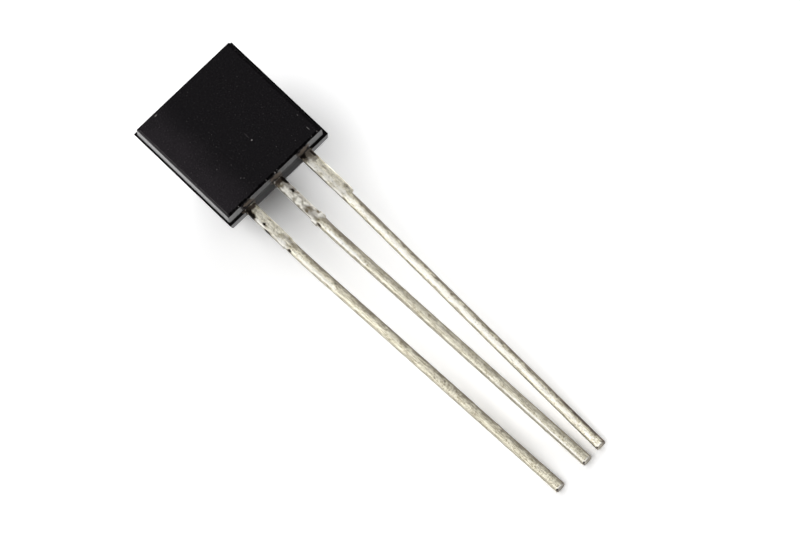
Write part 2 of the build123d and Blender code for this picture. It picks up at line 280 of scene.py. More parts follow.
def makeTin(look):
    # streaked metal, then patches, painted glints, dull sides with painted shade, and marks, each mixed over the last;
    # a lead's attributes say where
    material, tree, shader = newMaterial("tinPlate")
    place = addNode(tree, "ShaderNodeAttribute", attribute_name="leadMm").outputs["Vector"]
    stain, paintedGlint, side, smear = [
        addNode(tree, "ShaderNodeAttribute", attribute_name=name).outputs["Fac"]
        for name in ("stain", "paintedGlint", "side", "smear")]
    # streaks along the lead, broken up by flecks
    streakPlace = addNode(tree, "ShaderNodeVectorMath", {
        0: place, 1: [1 / step for step in look["streakMm"]]}, operation="MULTIPLY")
    streak = addNode(tree, "ShaderNodeTexNoise", {
        "Vector": streakPlace.outputs["Vector"], "Scale": 1.0, "Detail": 3.0, "Roughness": 0.75})
    pit = addNode(tree, "ShaderNodeTexNoise", {"Vector": place, "Scale": 1 / look["pitMm"], "Detail": 1.0})
    flecked = addNode(tree, "ShaderNodeMath", {
        0: pit.outputs["Fac"], 1: look["fleckShare"], 2: streak.outputs["Fac"]}, operation="MULTIPLY_ADD")
    spread = addNode(tree, "ShaderNodeMapRange", {
        "Value": flecked.outputs["Value"], "From Min": look["streakTone"][0], "From Max": look["streakTone"][1]})
    metal = addNode(tree, "ShaderNodeMix", {
        "Factor": spread.outputs["Result"], 6: linear(look["dull"]), 7: linear(look["bright"])}, data_type="RGBA")
    # smeared patches with painted highlights, painted glints, and dull sides with painted shade
    patchPlace = addNode(tree, "ShaderNodeVectorMath", {
        0: place, 1: [1 / step for step in look["patchMm"]]}, operation="MULTIPLY")
    patch = addNode(tree, "ShaderNodeTexNoise", {
        "Vector": patchPlace.outputs["Vector"], "Scale": 1.0, "Detail": 3.0, "Roughness": 0.5})
    patchTone = addNode(tree, "ShaderNodeMapRange", {
        "Value": patch.outputs["Fac"], "From Min": look["patchTone"][0], "From Max": look["patchTone"][1]})
    patches = addNode(tree, "ShaderNodeMix", {
        "Factor": patchTone.outputs["Result"], 6: linear(look["smeared"]), 7: linear(look["rubbedAndGlint"])},
        data_type="RGBA")
    patched = addNode(tree, "ShaderNodeMix", {
        "Factor": smear, 6: metal.outputs[2], 7: patches.outputs[2]}, data_type="RGBA")
    rubbedAndGlint = addNode(tree, "ShaderNodeMix", {
        "Factor": paintedGlint, 6: patched.outputs[2], 7: linear(look["rubbedAndGlint"])}, data_type="RGBA")
    sided = addNode(tree, "ShaderNodeMix", {
        "Factor": side, 6: rubbedAndGlint.outputs[2], 7: linear(look["side"])}, data_type="RGBA")
    # pits count as marks; a weak mark is brown, a strong one black
    pitted = addNode(tree, "ShaderNodeMapRange", {
        "Value": pit.outputs["Fac"], "From Min": look["pitNoise"][0], "From Max": look["pitNoise"][1],
        "To Max": look["pitDark"]})
    marked = addNode(tree, "ShaderNodeMath", {
        0: stain, 1: pitted.outputs["Result"]}, operation="MAXIMUM").outputs["Value"]
    burn = addNode(tree, "ShaderNodeMapRange", {
        "Value": marked, "From Min": look["burntStain"][0], "From Max": look["burntStain"][1]})
    mark = addNode(tree, "ShaderNodeMix", {
        "Factor": burn.outputs["Result"], 6: linear(look["brown"]), 7: linear(look["burnt"])}, data_type="RGBA")
    cover = addNode(tree, "ShaderNodeMapRange", {"Value": marked, "From Max": look["fullStain"]})
    stained = addNode(tree, "ShaderNodeMix", {
        "Factor": cover.outputs["Result"], 6: sided.outputs[2], 7: mark.outputs[2]}, data_type="RGBA")
    bare = addNode(tree, "ShaderNodeMapRange", {
        "Value": stain, "From Min": look["bareStain"][0], "From Max": look["bareStain"][1],
        "To Min": 1.0, "To Max": look["leastMetal"]})
    sheen = addNode(tree, "ShaderNodeMath", {0: bare.outputs["Result"], 1: look["sheen"]}, operation="MULTIPLY")
    rough = addNode(tree, "ShaderNodeMapRange", {
        "Value": streak.outputs["Fac"], "From Min": noiseLow, "From Max": noiseHigh,
        "To Min": look["roughness"] + look["roughnessSpread"],
        "To Max": look["roughness"] - look["roughnessSpread"]})
    rough = addNode(tree, "ShaderNodeMath", {
        0: smear, 1: look["smearRoughness"], 2: rough.outputs["Result"]}, operation="MULTIPLY_ADD")
    wavy = addNode(tree, "ShaderNodeMath", {0: smear, 1: patch.outputs["Fac"]}, operation="MULTIPLY")
    waves = addNode(tree, "ShaderNodeBump", {
        "Height": wavy.outputs["Value"], "Strength": look["waveStrength"], "Distance": look["waveMm"] * mm})
    bump = addNode(tree, "ShaderNodeBump", {
        "Height": streak.outputs["Fac"], "Strength": look["streakStrength"],
        "Distance": look["streakDeepMm"] * mm, "Normal": waves.outputs["Normal"]})
    tree.links.new(stained.outputs[2], shader.inputs["Base Color"])
    tree.links.new(rough.outputs["Value"], shader.inputs["Roughness"])
    tree.links.new(bare.outputs["Result"], shader.inputs["Metallic"])
    tree.links.new(sheen.outputs["Value"], shader.inputs["Specular IOR Level"])
    tree.links.new(bump.outputs["Normal"], shader.inputs["Normal"])
    return material


# Case, in millimetres and degrees. The front and back halves are each set off by a shift, across and up. Fields make
# ragged outlines, and a seed is that of the first of them.
case = {
    # as the solid has them
    "width": 4.46, "height": 4.62, "depth": 3.50, "frontDepth": 0.515, "step": 0.075, "bandDepth": 0.31,
    "frontShift": (0.0, -0.015), "backShift": (0.031, 0.0), "bevelHalf": 1.50,
    "frontDraft": 5.0, "sideDraft": 10.0, "endDraft": 18.0, "ejectorRadius": 0.60, "ejectorDepth": 0.08,
    # this surface's own: sharper front corners than the solid's, small radii on the back half, the most of a ring's
    # half width that its corner may take, and how much of the bevel's fall lies on the ledge
    "frontCorner": 0.02, "backCorner": 0.02, "backEdge": 0.008, "cornerMost": 0.8, "ledgeShare": 0.03,
    # how far the face's edge is worn in and down on the collector side, emitter side, lead end and top, and how far
    # from the edge the rings of the flat face stop
    "edgeInset": (0.09, 0.10, 0.065, 0.015), "edgeDrop": (0.014, 0.004, 0.035, 0.01), "flatMargin": 0.14,
    # the lead end's chamfer, as shares of that wear, and the chips in it
    "chamferIn": (0, 0.05, 0.10, 0.30, 0.50, 0.70, 0.90, 0.95, 1),
    "chamferDown": (0, 0.01, 0.05, 0.27, 0.50, 0.73, 0.94, 0.98, 1),
    "chipInset": 0.04, "chipDrop": 0.02, "chipMean": 0.45, "chipMost": 1.2,
    "chipFields": ((0.6, 0.12, 1.0, 0.5), (0.4, 0.035, 1.0, 3.5)), "chipSeed": 11,
    # the rough strip sheared between the leads: its depth below the face, its soft edge, and how far past the band
    "shearedFrom": 0.33, "shearedRamp": 0.03, "shearedPast": 0.01,
    # shine of the face, the walls, the wall between the leads, the sheared strip and the matte edges;
    # the face's edge on the emitter side is matte by the share dimEdge, and the walls are matte just above the step;
    # both are painted shade, darkened with the fresh resin's black
    "gloss": 0.57, "wallGloss": 0.98, "gapGloss": 0.46, "shearedGloss": 0.42, "matte": 0.10, "dimEdge": 0.6,
    "wallFrom": 0.03, "matteRise": 0.13, "matteRamp": 0.04,
    # painted highlight: a pale reflection on the collector side's wall, and a broken glint along that edge of the
    # face, with the length of its breaks and the row of the lattice that they follow
    "wallHighlight": 0.30, "edgeHighlight": 0.36, "highlightBreak": 0.6, "highlightLength": 0.12, "highlightRow": 7.5, "highlightSeed": 13,
    # flux blots on the lead end: x, z, half width, half height, strength; they show from blotFrom below the face to
    # blotPast beyond the band
    "blots": [(-1.27, -0.24, 0.22, 0.13, 0.45), (-1.34, -0.53, 0.22, 0.07, 0.9), (-1.05, -0.46, 0.05, 0.10, 0.8),
              (0.0, -0.24, 0.22, 0.15, 0.45), (-0.18, -0.46, 0.07, 0.11, 1.0), (0.10, -0.50, 0.14, 0.06, 0.9),
              (1.25, -0.24, 0.26, 0.16, 0.45), (1.07, -0.47, 0.09, 0.11, 1.0), (1.30, -0.52, 0.20, 0.06, 0.9)],
    "blotFields": ((0.35, 0.10, 0.10, 20), (0.2, 0.035, 0.035, 40)), "blotFade": (0.7, 0.45),
    "blotSeed": 21, "blotFrom": 0.06, "blotPast": 0.15,
    # points round a ring, and rings over the face, down the walls, round the back's edge, down its sides and round it;
    # a point is on a side where its outward way is at least sideWay along it, and lastSwing is in radians
    "leadEndPoints": 400, "sidePoints": 100, "cornerPoints": 7, "sideWay": 0.99,
    "faceShares": (0.004, 0.2, 0.4, 0.6, 0.8, 0.92, 0.98, 1.0), "wallRings": 24,
    "edgeRings": 5, "bandRings": 14, "draftRings": 9, "roundRings": 34, "lastSwing": 0.004,
}


def perimeter(size):
    # corner share p and outward way q of each point round a rounded rectangle,
    # whose point is p times (half size less radius) plus q times radius
    steps = np.linspace(0.0, np.pi / 2, size["cornerPoints"])[1:-1]
    endRun = np.linspace(-1.0, 1.0, size["leadEndPoints"])
    sideRun = np.linspace(-1.0, 1.0, size["sidePoints"])
    sides = [(endRun, 0, -1), (sideRun, 1, 0), (-sideRun, 0, 1), (-sideRun, -1, 0)]
    p, q = [], []
    for turn, (run, wayX, wayY) in enumerate(sides):
        p.append(np.stack([run if wayX == 0 else np.full_like(run, wayX),
                           run if wayY == 0 else np.full_like(run, wayY)], -1))
        q.append(np.tile([float(wayX), float(wayY)], (len(run), 1)))
        angle = (turn - 1) * np.pi / 2 + steps
        p.append(np.tile(p[-1][-1], (len(steps), 1)))
        q.append(np.stack([np.cos(angle), np.sin(angle)], -1))
    return np.concatenate(p), np.concatenate(q)


def backProfile(size):
    # half width, half height, corner radius and height of each ring of the back half, from the parting line
    # down the drafted sides and round the back
    draft = math.radians(size["sideDraft"])
    sideSlope = math.tan(draft)
    endSlope = math.tan(math.radians(size["endDraft"]))
    halfWide, halfHigh = size["width"] / 2, size["height"] / 2
    backDepth = size["depth"] - size["frontDepth"]
    lip = size["backEdge"]
    turn = np.linspace(0.0, math.pi / 2, size["edgeRings"])
    edge = np.stack([halfWide - lip + lip * np.sin(turn), halfHigh - lip + lip * np.sin(turn),
                     0 * turn + size["backCorner"], -size["frontDepth"] - lip + lip * np.cos(turn)], -1)
    # straight drafted run down to where the round back is tangent to it
    roundShare = (1 - math.sin(draft)) / math.cos(draft)
    run = (backDepth - halfWide * roundShare) / (1 - sideSlope * roundShare)
    below = np.concatenate([np.linspace(lip, size["bandDepth"], size["bandRings"])[1:],
                            np.linspace(size["bandDepth"], run, size["draftRings"])[1:]])
    radius = (halfWide - run * sideSlope) / math.cos(draft)
    swing = np.linspace(math.pi / 2 - draft, size["lastSwing"], size["roundRings"])[1:]
    wide = np.concatenate([halfWide - below * sideSlope, radius * np.sin(swing)])
    down = np.concatenate([below, backDepth - radius + radius * np.cos(swing)])
    high = halfHigh - np.maximum(down - size["bandDepth"], 0) * endSlope
    corner = np.minimum(size["backCorner"], size["cornerMost"] * wide)
    return np.concatenate([edge, np.stack([wide, high, corner, -size["frontDepth"] - down], -1)])


def makeCase(size, material):
    # rings grow from the middle of the face to its edge, go down the walls and the back half, and close at the back
    p, q = perimeter(size)
    slope = math.tan(math.radians(size["frontDraft"]))
    halfSize = np.array([size["width"], size["height"]]) / 2
    faceHalf = halfSize - size["step"] - size["frontDepth"] * slope
    corner = size["frontCorner"]
    # how far the face's edge is worn at each point: rounded, but cut to a chipped chamfer along the lead end
    ways = np.stack([np.maximum(way, 0) ** 2 for way in (-q[:, 0], q[:, 0], -q[:, 1], q[:, 1])])
    edgeX = p[:, 0] * faceHalf[0]
    chip = size["chipMean"] + ragged(edgeX, 0.0, size["chipFields"], size["chipSeed"])
    chip = np.clip(chip, 0, size["chipMost"]) * ways[2]
    inset = size["edgeInset"] @ ways + size["chipInset"] * chip
    drop = size["edgeDrop"] @ ways + size["chipDrop"] * chip
    # each ring of the front half is how far it lies outside the face's edge, and its height
    front = []
    turns = np.linspace(0.0, math.pi / 2, len(size["chamferIn"]))
    for turn, cutIn, cutDown in zip(turns, size["chamferIn"], size["chamferDown"]):
        outward = math.sin(turn) * (1 - ways[2]) + cutIn * ways[2]
        down = (1 - math.cos(turn)) * (1 - ways[2]) + cutDown * ways[2]
        front.append((drop * slope * outward - inset * (1 - outward), -drop * down))
    for share in np.linspace(0, 1, size["wallRings"])[1:]:
        height = -drop + share * (drop - size["frontDepth"])
        front.append((-height * slope, height))
    rings = []
    for share in size["faceShares"]:
        flat = share * (p * (faceHalf - size["flatMargin"] - corner) + q * corner) + size["frontShift"]
        rings.append(np.column_stack([flat, 0 * edgeX]))
    flatRings = len(rings)
    for out, height in front:
        outline = p * (faceHalf - corner) + q * (corner + out)[:, None] + size["frontShift"]
        rings.append(np.column_stack([outline, height]))
    for wide, high, turned, height in backProfile(size):
        outline = p * (np.array([wide, high]) - turned) + q * turned + size["backShift"]
        rings.append(np.column_stack([outline, height + 0 * edgeX]))
    rings = np.stack(rings)
    x, y, z = rings[..., 0], rings[..., 1], rings[..., 2]
    leadEnd = (q[:, 1] < -size["sideWay"])[None, :]
    between = leadEnd & (np.abs(x) < size["bevelHalf"])
    # bevel across the lead end between the outer leads, in place of the step
    end = halfSize[1] - size["backShift"][1]
    foot = end - size["step"] - size["frontShift"][1]
    ledge = np.clip((-y - foot) / (end - foot), 0, 1)
    band = np.clip((-z - size["frontDepth"]) / size["bandDepth"], 0, 1)
    bevel = -(foot + (end - foot) * (size["ledgeShare"] * ledge + (1 - size["ledgeShare"]) * band))
    bandFoot = size["frontDepth"] + size["bandDepth"]
    onBand = (-z > size["frontDepth"] - hair) & (-z < bandFoot + hair)
    y = np.where(between & onBand & (-y > foot), np.maximum(y, bevel), y)
    sheared = smoothStep((-z - size["shearedFrom"]) / size["shearedRamp"])
    sheared = between * sheared * (-z < bandFoot + size["shearedPast"])
    # flat left by the ejector pin
    inPin = np.hypot(x - size["backShift"][0], y) < size["ejectorRadius"]
    z = np.where(inPin, np.maximum(z, -size["depth"] + size["ejectorDepth"]), z)
    rings = np.stack([x, y, z], -1)
    # flux blots round the lead roots
    stain = blots(size["blots"], x, z, ragged(x, z, size["blotFields"], size["blotSeed"]), *size["blotFade"])
    stain = stain * leadEnd * (z < -size["blotFrom"]) * (-z < bandFoot + size["blotPast"])
    # gloss: the front's walls are shinier than the face; the chipped chamfer is matte, and so are the corner of the
    # step and the emitter side's edge, where the matte black is painted shade
    onWall = (z < -size["wallFrom"]) & (z > -size["frontDepth"] - hair)
    gloss = np.where(onWall, np.where(between, size["gapGloss"], size["wallGloss"]), size["gloss"])
    matte = smoothStep((-z - size["frontDepth"] + size["matteRise"]) / size["matteRamp"]) * onWall * ~between
    chamfer = slice(flatRings + 1, flatRings + len(turns) - 1)
    matte[chamfer] = np.maximum(matte[chamfer], ways[2] + size["dimEdge"] * ways[1])
    gloss = gloss + (size["matte"] - gloss) * matte
    gloss = gloss + (size["shearedGloss"] - gloss) * sheared
    # painted highlight: a pale reflection on the collector side's wall, and a broken glint along that edge of the face
    paintedHighlight = size["wallHighlight"] * onWall * (1 - matte) * (q[:, 0] < -size["sideWay"])
    highlightRing = flatRings + 1
    breaks = wander(y[highlightRing] / size["highlightLength"], size["highlightRow"], size["highlightSeed"])
    broken = size["highlightBreak"] * (1 + breaks)
    paintedHighlight[highlightRing] = size["edgeHighlight"] * ways[0] * broken
    attributes = {"caseMm": rings, "stain": stain, "sheared": sheared * np.ones_like(x),
                  "gloss": gloss, "paintedHighlight": paintedHighlight}
    addPiece("mouldedCase", rings, material, attributes, "epoxy_body")


# Leads, in millimetres and degrees. Along is from the case's end to the tip; across is from the middle of the lead
# towards the emitter's side.
lead = {
    # as the solids have them
    "width": 0.37, "thickness": 0.38, "frontZ": -0.47, "bendStart": 2.25, "bendRadius": 20.0, "embed": 0.90,
    # corner radii from the upper left round to the lower left, and the crown of the top: at the root, past the tie bar
    "rootRadii": (0.05, 0.05, 0.14, 0.14), "runRadii": (0.07, 0.12, 0.14, 0.14),
    "rootCrown": 0.004, "runCrown": 0.022, "crownFrom": 1.78, "crownTo": 2.15, "ridge": 0.2, "crownReach": 1.2,
    # uneven coat of tin: its height, how long its coarse and fine lumps are along the lead, how many lattice cells
    # they swing to either side round it and where on the lattice they start, and the share of the fine ones
    "lump": 0.003, "coatMm": (0.30, 0.11), "coatTurns": (3, 5), "coatStarts": (20, 40), "coatFine": 0.5,
    # cut end: its rounded rim, how much painted shade darkens it and over what share of the rim, and a dark mark and a
    # painted glint on the rim, which are as the marks below but start with how far they lie back from the tip
    "rim": 0.02, "rimShares": (1.2, 0.6, 0.25, 0.06, 0.0), "endShade": 0.5, "endShare": 0.3,
    "tipMark": (0.02, -0.14, 0.03, 0.035, 0.9), "tipGlint": (0.018, 0.03, 0.02, 0.15, 1.0),
    # how dull the left side and the underside are, partly duller metal and partly painted shade; the dullness starts
    # where the surface faces that way by the first share and is full after the second one more
    "leftDullAndShade": 0.45, "leftSlope": (0.7, 0.25), "underDullAndShade": 0.4, "underSlope": (0.2, 0.5),
    # how far the painted shade on the right edge frays, the ragged outlines of marks, the height below which there are
    # no stains, and how much of the smear is left past the tie bar
    "fray": 0.035, "frayFields": ((1.0, 0.14, 0.03, 50), (0.6, 0.05, 0.03, 9)),
    "markFields": ((0.30, 0.07, 0.05, 30), (0.15, 0.025, 0.025, 10)), "markFade": (0.65, 0.6),
    "markFloor": -0.1, "runSmear": 0.25,
    # seeds of marks, painted glints and fray, counted on from the lead's own, which is the coat's
    "markSeed": 2, "glintSeed": 4, "fraySeed": 6,
    # steps along the lead, half the gap between the rings of a pair, and points on each corner and side
    "stepMm": 0.025, "pairGap": 0.003, "arcPoints": 9, "sidePoints": 9,
}
# Of each lead: heads are (start, end, left, right); marks (stains, and a few painted shade lines) and glints (painted
# highlights) are (along, across, half length, half width, strength); roll turns the crowned run towards the collector
# side; smear is how patchy the root is; edge is where the painted shade on the right edge starts across, how wide it
# fades in, and how dark it is.
leads = {
    "collector": {
        "node": "collector_lead", "mount": "collector_lead_tip", "seed": 31,
        "roll": 3.0, "smear": 0.45, "edge": (0.045, 0.08, 0.88),
        "heads": [(-3.85, -2.35, -0.48, 1.42), (-2.35, 1.75, -0.21, 0.21)],
        "marks": [
            (0.03, 0.02, 0.09, 0.30, 0.7), (0.02, -0.10, 0.12, 0.12, 0.8), (0.19, -0.16, 0.22, 0.08, 1.0),
            (0.73, -0.095, 0.06, 0.04, 1.0), (0.80, -0.11, 0.06, 0.03, 0.4), (1.0, -0.205, 0.15, 0.02, 0.8),
            (1.78, 0.07, 0.33, 0.06, 0.3), (2.0, -0.15, 0.07, 0.04, 0.8), (6.1, -0.01, 0.02, 0.015, 0.6),
            (8.5, -0.085, 0.03, 0.018, 0.8), (8.95, -0.15, 0.02, 0.015, 0.6), (9.45, -0.10, 0.02, 0.015, 0.6),
            (10.8, -0.06, 3.2, 0.22, 0.09)],
        "glints": [(0.6, -0.17, 0.3, 0.05, 0.8), (1.6, -0.15, 0.3, 0.08, 0.8), (3.1, -0.08, 0.95, 0.07, 0.6)],
    },
    "base": {
        "node": "base_lead", "mount": "base_lead_tip", "seed": 47,
        "roll": 0.0, "smear": 0.85, "edge": (0.0, 0.14, 0.72),
        "heads": [(-1.95, -1.40, -0.60, 0.60), (-1.40, 1.75, -0.185, 0.185), (1.75, 1.95, -0.235, 0.235)],
        "marks": [
            # the mark at 2.9 along on the right edge is painted shade
            (0.03, 0.0, 0.11, 0.26, 0.7), (0.42, 0.09, 0.34, 0.09, 0.4), (0.16, 0.14, 0.19, 0.07, 1.0),
            (0.575, 0.07, 0.08, 0.05, 0.95), (0.85, 0.075, 0.15, 0.03, 0.35), (1.50, -0.03, 0.34, 0.13, 0.30),
            (1.62, -0.06, 0.20, 0.06, 0.4), (2.06, -0.15, 0.09, 0.03, 0.7), (2.9, 0.11, 0.9, 0.07, 0.3),
            (3.08, -0.1, 0.015, 0.03, 0.5), (5.6, -0.15, 0.02, 0.015, 0.6), (9.75, -0.15, 0.03, 0.015, 0.6),
            (10.4, -0.14, 0.02, 0.015, 0.5)],
        "glints": [
            (3.1, -0.08, 0.9, 0.06, 1.0), (1.87, 0.13, 0.13, 0.09, 0.9), (1.83, -0.21, 0.13, 0.07, 0.9),
            (0.7, -0.18, 0.10, 0.03, 0.7), (1.52, -0.18, 0.18, 0.03, 0.7), (12.0, -0.12, 2.2, 0.035, 0.7)],
    },
    "emitter": {
        "node": "emitter_lead", "mount": "emitter_lead_tip", "seed": 59,
        "roll": 7.0, "smear": 0.36, "edge": (0.085, 0.035, 0.92),
        "heads": [(-3.50, -2.60, -0.43, 0.52), (-2.60, 1.95, -0.185, 0.275)],
        "marks": [
            # the mark at 0.7 along on the left edge is a painted shadow line; the two on the right edge past 11 mm are
            # painted shade
            (0.05, 0.04, 0.17, 0.36, 0.62), (0.16, 0.12, 0.22, 0.14, 0.5), (-0.03, -0.10, 0.14, 0.10, 1.0),
            (0.17, 0.22, 0.18, 0.04, 0.85), (0.7, 0.14, 0.05, 0.04, 0.2), (1.76, 0.20, 0.14, 0.06, 0.45),
            (2.02, -0.15, 0.14, 0.035, 0.4), (0.7, -0.19, 0.5, 0.010, 0.55), (11.2, 0.165, 2.2, 0.03, 0.35),
            (12.9, 0.155, 1.25, 0.045, 0.65)],
        "glints": [
            (0.45, -0.12, 0.25, 0.06, 0.8), (1.05, -0.1, 0.15, 0.10, 0.7), (1.67, -0.15, 0.28, 0.06, 0.8),
            (6.5, -0.03, 8.0, 0.08, 0.7)],
    },
}


def leadSection(half, radii, arcPoints, sidePoints):
    # rounded square: quarter arcs at the four corners joined by straight sides, from the left over the top
    corners = [(-1, 1, 180, 90), (1, 1, 90, 0), (1, -1, 0, -90), (-1, -1, -90, -180)]
    arcs = []
    for (wayX, wayZ, start, end), radius in zip(corners, radii):
        angle = np.radians(np.linspace(start, end, arcPoints))
        arcs.append(np.stack([wayX * (half - radius) + radius * np.cos(angle),
                              wayZ * (half - radius) + radius * np.sin(angle)], -1))
    share = np.linspace(0, 1, sidePoints + 2)[1:-1, None]
    runs = [np.concatenate([arc, arc[-1] + (after[0] - arc[-1]) * share])
            for arc, after in zip(arcs, arcs[1:] + arcs[:1])]
    return np.concatenate(runs)


def makeLead(name, own, size, material):
    # the section is carried along a straight run, an arc of the bend radius and a straight run to the tip
    tip = toCase(mounts[own["mount"]]["pos_m"])
    way = caseAxes @ np.array(mounts[own["mount"]]["axis"])
    splay = math.atan2(way[0], -way[1])
    caseEnd = -case["height"] / 2
    bend = size["bendRadius"]
    arc = bend * abs(splay)
    run = (caseEnd - size["bendStart"] - bend * math.sin(abs(splay)) - tip[1]) / math.cos(splay)
    side = math.copysign(1.0, splay)
    rootX = tip[0] - side * bend * (1 - math.cos(splay)) - run * math.sin(splay)
    tipAlong = size["bendStart"] + arc + run
    # rings: a pair at each change of width, even steps over the free length, and the rounded rim of the cut end
    breaks = np.array([edge for start, end, _, _ in own["heads"] for edge in (start, end)])
    even = np.arange(-size["embed"], tipAlong - 2 * size["rim"], size["stepMm"])
    rim = size["rim"] * np.array(size["rimShares"])
    along = np.sort(np.concatenate([even, breaks - size["pairGap"], breaks + size["pairGap"], tipAlong - rim]))
    along = along[along >= own["heads"][0][0]]
    half = size["width"] / 2
    left = np.full(along.shape, -half)
    right = np.full(along.shape, half)
    for start, end, low, high in own["heads"]:
        inside = (along >= start) & (along <= end)
        left = np.where(inside, low, left)
        right = np.where(inside, high, right)
    along = along[:, None]
    # u across and h up of each point of the section, which changes from flat to crowned past the tie bar
    crowned = smoothStep((along - size["crownFrom"]) / (size["crownTo"] - size["crownFrom"]))
    root = leadSection(half, size["rootRadii"], size["arcPoints"], size["sidePoints"])
    free = leadSection(half, size["runRadii"], size["arcPoints"], size["sidePoints"])
    u = root[None, :, 0] * (1 - crowned) + free[None, :, 0] * crowned
    h = root[None, :, 1] * (1 - crowned) + free[None, :, 1] * crowned
    u = np.where(u < 0, u * (-left / half)[:, None], u * (right / half)[:, None])
    # crown: the top falls off by the square of the distance from its ridge
    crown = size["rootCrown"] * (1 - crowned) + size["runCrown"] * crowned
    fromRidge = np.clip((u - size["ridge"] * half) / half, -size["crownReach"], size["crownReach"])
    h = h - smoothStep(h / half) * crown * fromRidge ** 2
    # uneven coat and the rounded rim of the cut end
    turn = np.linspace(0, 2 * np.pi, u.shape[1], endpoint=False)[None, :]
    coarseMm, fineMm = size["coatMm"]
    coarseTurns, fineTurns = size["coatTurns"]
    coarseStart, fineStart = size["coatStarts"]
    coat = wander(along / coarseMm, coarseTurns * np.cos(turn) + coarseStart, own["seed"])
    coatFine = wander(along / fineMm, fineTurns * np.sin(turn) + fineStart, own["seed"] + 1)
    coat = coat + size["coatFine"] * coatFine
    rimLeft = np.clip((tipAlong - along) / size["rim"], 0, 1)
    shrink = 1 - (1 - np.sqrt(1 - (1 - rimLeft) ** 2)) * size["rim"] / half
    scale = shrink * (1 + coat * size["lump"] / half * (along > 0))
    u, h = u * scale, h * scale
    alongAll = np.broadcast_to(along, u.shape)
    place = np.stack([u, alongAll, h], -1)
    # dull places: the left side and the underside, partly duller metal and partly painted shade, and painted shade on
    # the cut end and on the right edge where the lead is crowned
    stepU, stepH = np.roll(u, -1, 1) - np.roll(u, 1, 1), np.roll(h, -1, 1) - np.roll(h, 1, 1)
    length = np.hypot(stepU, stepH)
    toRight, upward = -stepH / length, stepU / length
    edgeFrom, edgeWide, edgeShade = own["edge"]
    leftFrom, leftOver = size["leftSlope"]
    underFrom, underOver = size["underSlope"]
    fray = size["fray"] * ragged(alongAll, u, size["frayFields"], own["seed"] + size["fraySeed"])
    dull = edgeShade * smoothStep((u - edgeFrom + fray) / edgeWide) * crowned
    dull = dull + size["leftDullAndShade"] * smoothStep((-toRight - leftFrom) / leftOver)
    dull = np.clip(dull + size["underDullAndShade"] * smoothStep((-upward - underFrom) / underOver), 0, 1)
    dull = np.maximum(dull, size["endShade"] * (rimLeft < size["endShare"]))
    # stains, a few painted shade lines and painted glints, with one more of each at the tip
    spots = {}
    for kind, tipKind, seedKind in (("marks", "tipMark", "markSeed"), ("glints", "tipGlint", "glintSeed")):
        back, *spot = size[tipKind]
        edge = ragged(alongAll, u, size["markFields"], own["seed"] + size[seedKind])
        spots[kind] = blots(own[kind] + [(tipAlong - back, *spot)], alongAll, u, edge, *size["markFade"])
    stain = spots["marks"] * (h > size["markFloor"])
    smear = np.broadcast_to(own["smear"] * (1 - (1 - size["runSmear"]) * crowned), u.shape)
    # roll the section, then carry it along the path
    roll = math.radians(own["roll"]) * crowned
    u, h = u * np.cos(roll) - h * np.sin(roll), u * np.sin(roll) + h * np.cos(roll)
    angle = splay * np.clip((along - size["bendStart"]) / arc, 0, 1)
    rest = np.maximum(along - size["bendStart"] - arc, 0)
    straight = np.minimum(along, size["bendStart"])
    pathX = rootX + side * bend * (1 - np.cos(angle)) + rest * np.sin(angle)
    pathY = caseEnd - straight - bend * np.sin(np.abs(angle)) - rest * np.cos(angle)
    middleZ = size["frontZ"] - size["thickness"] / 2
    rings = np.stack([pathX + u * np.cos(angle), pathY + u * np.sin(angle), middleZ + h], -1)
    attributes = {"leadMm": place, "stain": stain, "paintedGlint": spots["glints"], "side": dull, "smear": smear}
    addPiece(name + "Lead", rings, material, attributes, own["node"])


epoxy = makeEpoxy(epoxyLook)
tin = makeTin(tinLook)
print("materials", epoxy.name, tin.name)
makeCase(case, epoxy)
for name, own in leads.items():
    makeLead(name, own, lead, tin)

# Inner pieces keep their solids and take their own materials, each faintly mottled.
mottleMm = 0.06
innerLooks = {
    # soft solder, set dull: a grey, blurred shine
    "dieSolder": {
        "nodes": ["die_attach"], "dark": "#8f9096", "pale": "#a9aab0", "roughness": 0.45, "metallic": 1.0},
    # polished silicon: a dark grey mirror, partly metal to the eye
    "polishedSilicon": {
        "nodes": ["silicon_die"], "dark": "#3c3d44", "pale": "#4b4c55", "roughness": 0.15, "metallic": 0.6},
    # drawn gold wire: a bright warm yellow
    "goldWire": {
        "nodes": ["base_bond_wire", "emitter_bond_wire"], "dark": "#c99a3f", "pale": "#e3bd68",
        "roughness": 0.25, "metallic": 1.0},
}
for materialName, look in innerLooks.items():
    material, tree, shader = newMaterial(materialName)
    place = addNode(tree, "ShaderNodeTexCoord").outputs["Object"]
    mottle = addNode(tree, "ShaderNodeTexNoise", {"Vector": place, "Scale": 1 / (mottleMm * mm), "Detail": 2.0})
    tone = addNode(tree, "ShaderNodeMix", {
        "Factor": mottle.outputs["Fac"], 6: linear(look["dark"]), 7: linear(look["pale"])}, data_type="RGBA")
    tree.links.new(tone.outputs[2], shader.inputs["Base Color"])
    shader.inputs["Roughness"].default_value = look["roughness"]
    shader.inputs["Metallic"].default_value = look["metallic"]
    for node in look["nodes"]:
        slots = frame["nodes"][node].data.materials
        slots.clear()
        slots.append(material)
    print(materialName, "on", len(look["nodes"]), "inner pieces")

